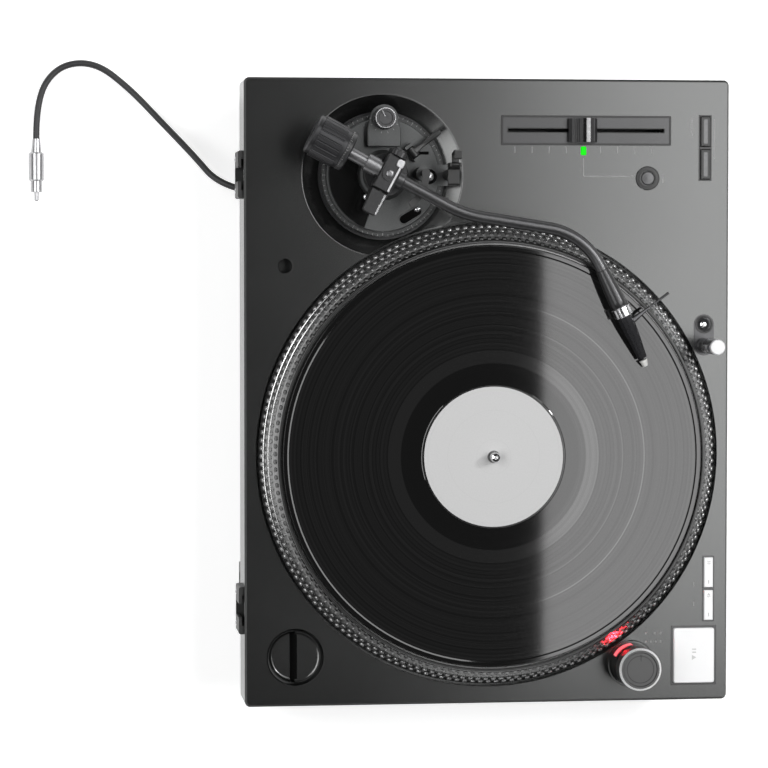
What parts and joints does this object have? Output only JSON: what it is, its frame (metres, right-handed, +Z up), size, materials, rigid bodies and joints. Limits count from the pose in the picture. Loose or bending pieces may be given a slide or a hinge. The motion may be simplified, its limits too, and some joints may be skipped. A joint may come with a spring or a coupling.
{
  "type": "dj turntable",
  "caption": "Direct-drive DJ turntable with an S-shaped tonearm, a record on its slipmat, a pitch fader, a pop-up lamp and a signal lead.",
  "frame": {"origin": "under the middle of the deck, on the surface that the feet stand on", "axes": "+Z up, +X from the rear panel to the front edge, +Y along the long side towards the tonearm"},
  "size_m": [0.5035, 0.4672, 0.15],
  "materials": {
    "cabinet": "satin",
    "base": "matte",
    "foot": "matte",
    "bezel": "gloss",
    "white_button": "gloss",
    "dark_button": "satin",
    "panel": "satin",
    "cap": "satin",
    "steel": "satin",
    "chrome": "polished",
    "platter": "satin",
    "magnet": "matte",
    "motor": "satin",
    "bearing": "satin",
    "lens": "gloss",
    "mat": "matte",
    "vinyl": "gloss",
    "label": "matte",
    "arm": "satin",
    "arm_base": "satin",
    "weight": "satin",
    "shell": "gloss",
    "tip": "gloss",
    "jacket": "matte",
    "plug": "satin",
    "damper": "satin"
  },
  "bodies": {
    "deck": {"cabinet_top": "cabinet", "base_mould": "base", "start_bezel": "bezel", "speed_bezel": "bezel", "range_bezel": "bezel", "fader_panel": "panel", "fader_body": "steel", "lamp_panel": "panel", "strobe_tower": "cabinet", "strobe_window": "lens", "motor_stator": "motor", "bearing_housing": "bearing", "arm_bush": "arm_base", "hinge_socket_right": "base", "hinge_socket_left": "base", "mains_inlet": "bezel", "terminal_plate": "steel", "lead_gland": "jacket", "signal_lead": "jacket", "lead_plug": "plug"},
    "platter": {"platter": "platter", "rotor_magnet": "magnet", "spindle": "chrome"},
    "disc": {"slipmat": "mat", "record": "vinyl", "record_label": "label"},
    "height_ring": {"height_ring": "arm_base"},
    "carriage": {"arm_carriage": "arm_base", "arm_rest": "cap", "skate_bridge": "arm_base"},
    "clip": {"arm_clip": "cap"},
    "skate_knob": {"skate_knob": "arm_base"},
    "cue_lever": {"cue_lever": "arm_base"},
    "cue_lift": {"cue_lift": "cap"},
    "yoke": {"gimbal_yoke": "arm"},
    "arm": {"arm_block": "arm", "arm_tube": "arm", "connector_sleeve": "arm", "cartridge": "shell", "stylus": "tip", "finger_lift": "chrome", "rear_stub": "damper"},
    "collar": {"locking_collar": "chrome"},
    "weight": {"counterweight": "weight"},
    "scale_ring": {"scale_ring": "weight"},
    "fader_cap": {"fader_cap": "cap"},
    "power_knob": {"power_knob": "arm_base"},
    "start_button": {"start_button": "white_button"},
    "speed_33_button": {"speed_33_button": "white_button"},
    "speed_45_button": {"speed_45_button": "white_button"},
    "range_wide_button": {"range_wide_button": "dark_button"},
    "range_narrow_button": {"range_narrow_button": "dark_button"},
    "reset_button": {"reset_button": "dark_button"},
    "lamp_release": {"lamp_release": "chrome"},
    "target_lamp": {"target_lamp": "damper"},
    "ground_nut": {"ground_nut": "chrome"},
    "foot_front_right": {"foot_front_right": "foot"},
    "foot_front_left": {"foot_front_left": "foot"},
    "foot_rear_right": {"foot_rear_right": "foot"},
    "foot_rear_left": {"foot_rear_left": "foot"}
  },
  "joints": [
    {"name": "foot_front_right_turn", "type": "hinge", "parent": "deck", "child": "foot_front_right", "pos_m": [0.137, 0.185, 0], "axis": [0, 0, 1], "range_deg": [-180, 180]},
    {"name": "foot_front_left_turn", "type": "hinge", "parent": "deck", "child": "foot_front_left", "pos_m": [0.137, -0.185, 0], "axis": [0, 0, 1], "range_deg": [-180, 180]},
    {"name": "foot_rear_right_turn", "type": "hinge", "parent": "deck", "child": "foot_rear_right", "pos_m": [-0.133, 0.185, 0], "axis": [0, 0, 1], "range_deg": [-180, 180]},
    {"name": "foot_rear_left_turn", "type": "hinge", "parent": "deck", "child": "foot_rear_left", "pos_m": [-0.133, -0.185, 0], "axis": [0, 0, 1], "range_deg": [-180, 180]},
    {"name": "platter_spin", "type": "hinge", "parent": "deck", "child": "platter", "pos_m": [0.002, -0.045, 0.1], "axis": [0, 0, 1], "continuous": true},
    {"name": "record_slip", "type": "hinge", "parent": "platter", "child": "disc", "pos_m": [0.002, -0.045, 0.12], "axis": [0, 0, 1], "continuous": true},
    {"name": "height_ring_turn", "type": "hinge", "parent": "deck", "child": "height_ring", "pos_m": [-0.075, 0.1555, 0.095], "axis": [0, 0, 1], "range_deg": [0, 300]},
    {"name": "carriage_lift", "type": "slide", "parent": "deck", "child": "carriage", "axis": [0, 0, 1], "range_m": [0, 0.006]},
    {"name": "clip_close", "type": "hinge", "parent": "carriage", "child": "clip", "pos_m": [-0.028, 0.1621, 0.137], "axis": [1, 0, 0], "range_deg": [0, 100]},
    {"name": "skate_dial_turn", "type": "hinge", "parent": "carriage", "child": "skate_knob", "pos_m": [-0.075, 0.1955, 0.109], "axis": [0, 0, 1], "range_deg": [0, 270]},
    {"name": "cue_lever_raise", "type": "hinge", "parent": "carriage", "child": "cue_lever", "pos_m": [-0.05451, 0.17151, 0.108], "axis": [0.6157, -0.788, 0], "range_deg": [0, 50]},
    {"name": "cue_lift_rise", "type": "slide", "parent": "carriage", "child": "cue_lift", "axis": [0, 0, 1], "range_m": [0, 0.0023]},
    {"name": "arm_swing", "type": "hinge", "parent": "carriage", "child": "yoke", "pos_m": [-0.075, 0.1555, 0.117], "axis": [0, 0, 1], "range_deg": [-18.5, 28]},
    {"name": "arm_raise", "type": "hinge", "parent": "yoke", "child": "arm", "pos_m": [-0.075, 0.1555, 0.134], "axis": [-0.4695, -0.8829, 0], "range_deg": [0, 5]},
    {"name": "collar_turn", "type": "hinge", "parent": "arm", "child": "collar", "pos_m": [0.06489, 0.11356, 0.134], "axis": [0.4399, -0.898, 0], "range_deg": [0, 60]},
    {"name": "weight_turn", "type": "hinge", "parent": "arm", "child": "weight", "pos_m": [-0.075, 0.1555, 0.134], "axis": [0.8829, -0.4695, 0], "range_deg": [-180, 180]},
    {"name": "scale_ring_turn", "type": "hinge", "parent": "weight", "child": "scale_ring", "pos_m": [-0.075, 0.1555, 0.134], "axis": [0.8829, -0.4695, 0], "range_deg": [-180, 180]},
    {"name": "pitch_fader_slide", "type": "slide", "parent": "deck", "child": "fader_cap", "axis": [1, 0, 0], "range_m": [-0.047, 0.053]},
    {"name": "power_knob_turn", "type": "hinge", "parent": "deck", "child": "power_knob", "pos_m": [0.1072, -0.1979, 0.096], "axis": [0, 0, 1], "range_deg": [0, 40]},
    {"name": "start_button_press", "type": "slide", "parent": "deck", "child": "start_button", "axis": [0, 0, -1], "range_m": [0, 0.002], "stiffness_N_per_m": 500, "springref_m": -0.002},
    {"name": "speed_33_press", "type": "slide", "parent": "deck", "child": "speed_33_button", "axis": [0, 0, -1], "range_m": [0, 0.0011], "stiffness_N_per_m": 400, "springref_m": -0.001},
    {"name": "speed_45_press", "type": "slide", "parent": "deck", "child": "speed_45_button", "axis": [0, 0, -1], "range_m": [0, 0.0011], "stiffness_N_per_m": 400, "springref_m": -0.001},
    {"name": "range_wide_press", "type": "slide", "parent": "deck", "child": "range_wide_button", "axis": [0, 0, -1], "range_m": [0, 0.0011], "stiffness_N_per_m": 400, "springref_m": -0.001},
    {"name": "range_narrow_press", "type": "slide", "parent": "deck", "child": "range_narrow_button", "axis": [0, 0, -1], "range_m": [0, 0.0011], "stiffness_N_per_m": 400, "springref_m": -0.001},
    {"name": "reset_press", "type": "slide", "parent": "deck", "child": "reset_button", "axis": [0, 0, -1], "range_m": [0, 0.0012], "stiffness_N_per_m": 400, "springref_m": -0.001},
    {"name": "lamp_release_press", "type": "slide", "parent": "deck", "child": "lamp_release", "axis": [0, 0, -1], "range_m": [0, 0.0015], "stiffness_N_per_m": 400, "springref_m": -0.001},
    {"name": "target_lamp_drop", "type": "slide", "parent": "deck", "child": "target_lamp", "axis": [0, 0, -1], "range_m": [0, 0.044]},
    {"name": "ground_nut_turn", "type": "hinge", "parent": "deck", "child": "ground_nut", "pos_m": [-0.174, 0.118, 0.038], "axis": [1, 0, 0], "range_deg": [-180, 180]}
  ],
  "couplings": [
    {"joint": "carriage_lift", "follows": "height_ring_turn", "m_per_rad": 0.0011459},
    {"joint": "cue_lift_rise", "follows": "cue_lever_raise", "m_per_rad": 0.0026356},
    {"joint": "arm_raise", "follows": "cue_lever_raise", "ratio": 0.1}
  ]
}
